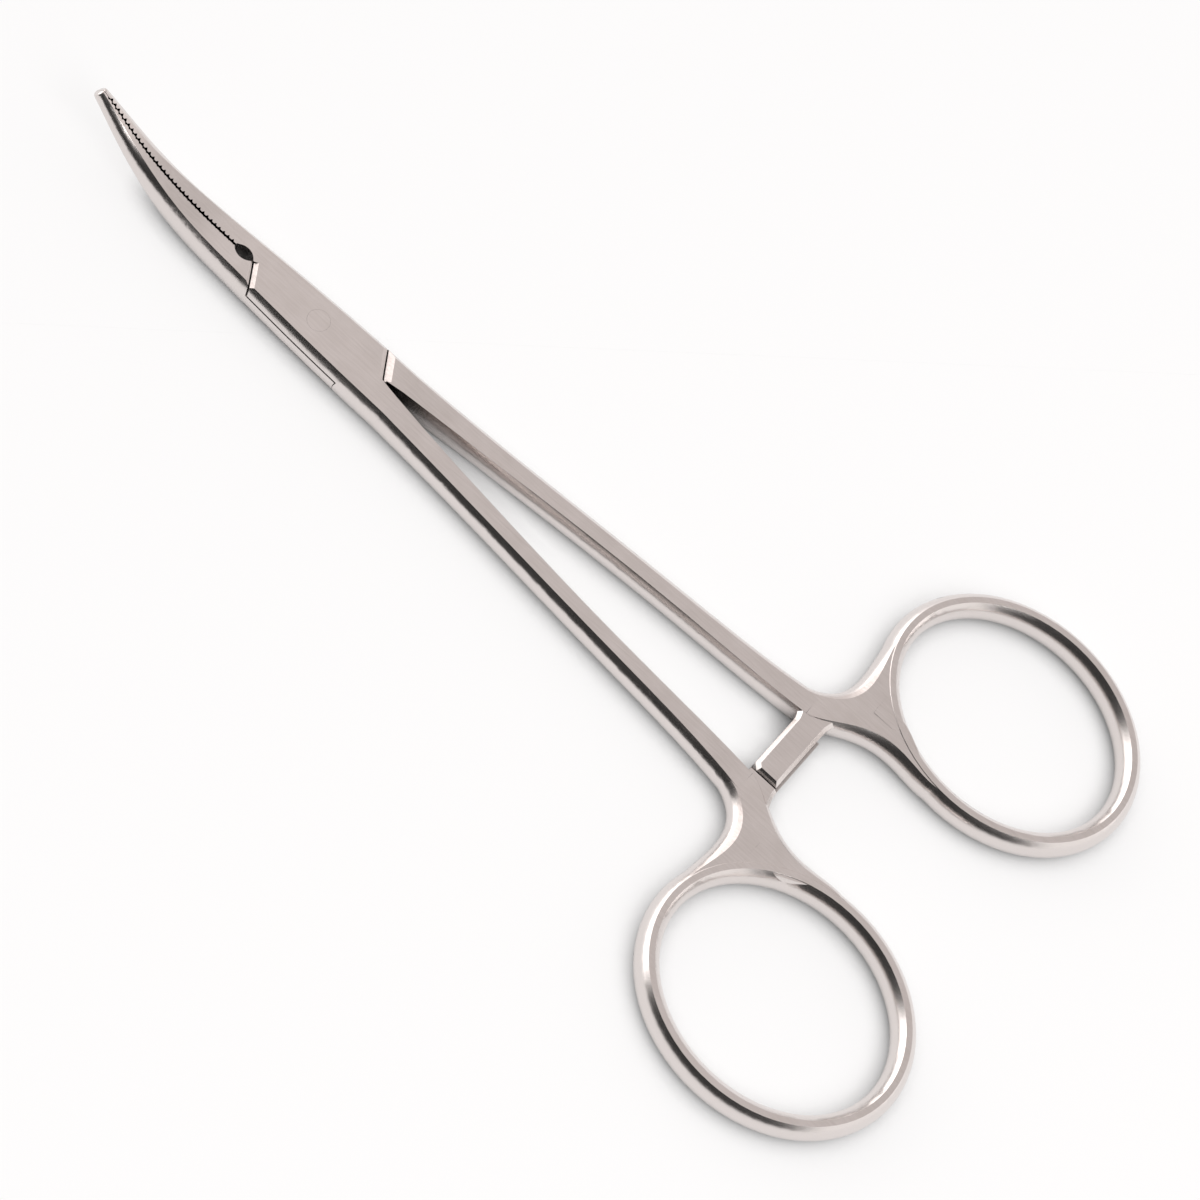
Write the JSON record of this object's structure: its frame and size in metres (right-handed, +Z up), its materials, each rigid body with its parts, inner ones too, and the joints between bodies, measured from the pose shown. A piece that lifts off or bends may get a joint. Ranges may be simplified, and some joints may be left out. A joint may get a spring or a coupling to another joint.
{
  "type": "haemostatic forceps",
  "caption": "Curved mosquito haemostatic forceps with a box lock, cross-serrated jaws, ratchet arms and oval finger rings",
  "frame": {"origin": "on the axis of the lock pin, at the underside of the box lock on which the forceps lie", "axes": "+Z up and along the hinge axis, +X from the jaws towards the finger rings, +Y from the ring of the box half towards the ring of the tongue half"},
  "size_m": [0.1243, 0.0656, 0.009],
  "materials": {
    "steel": "satin stainless steel, softly brushed"
  },
  "bodies": {
    "box_side": {"box_half": "steel", "lock_pin": "steel"},
    "tongue_side": {"tongue_half": "steel"}
  },
  "joints": [
    {"name": "lock_hinge", "type": "hinge", "parent": "box_side", "child": "tongue_side", "pos_m": [0, 0, 0.00185], "axis": [0, 0, 1], "range_deg": [0, 60]}
  ]
}
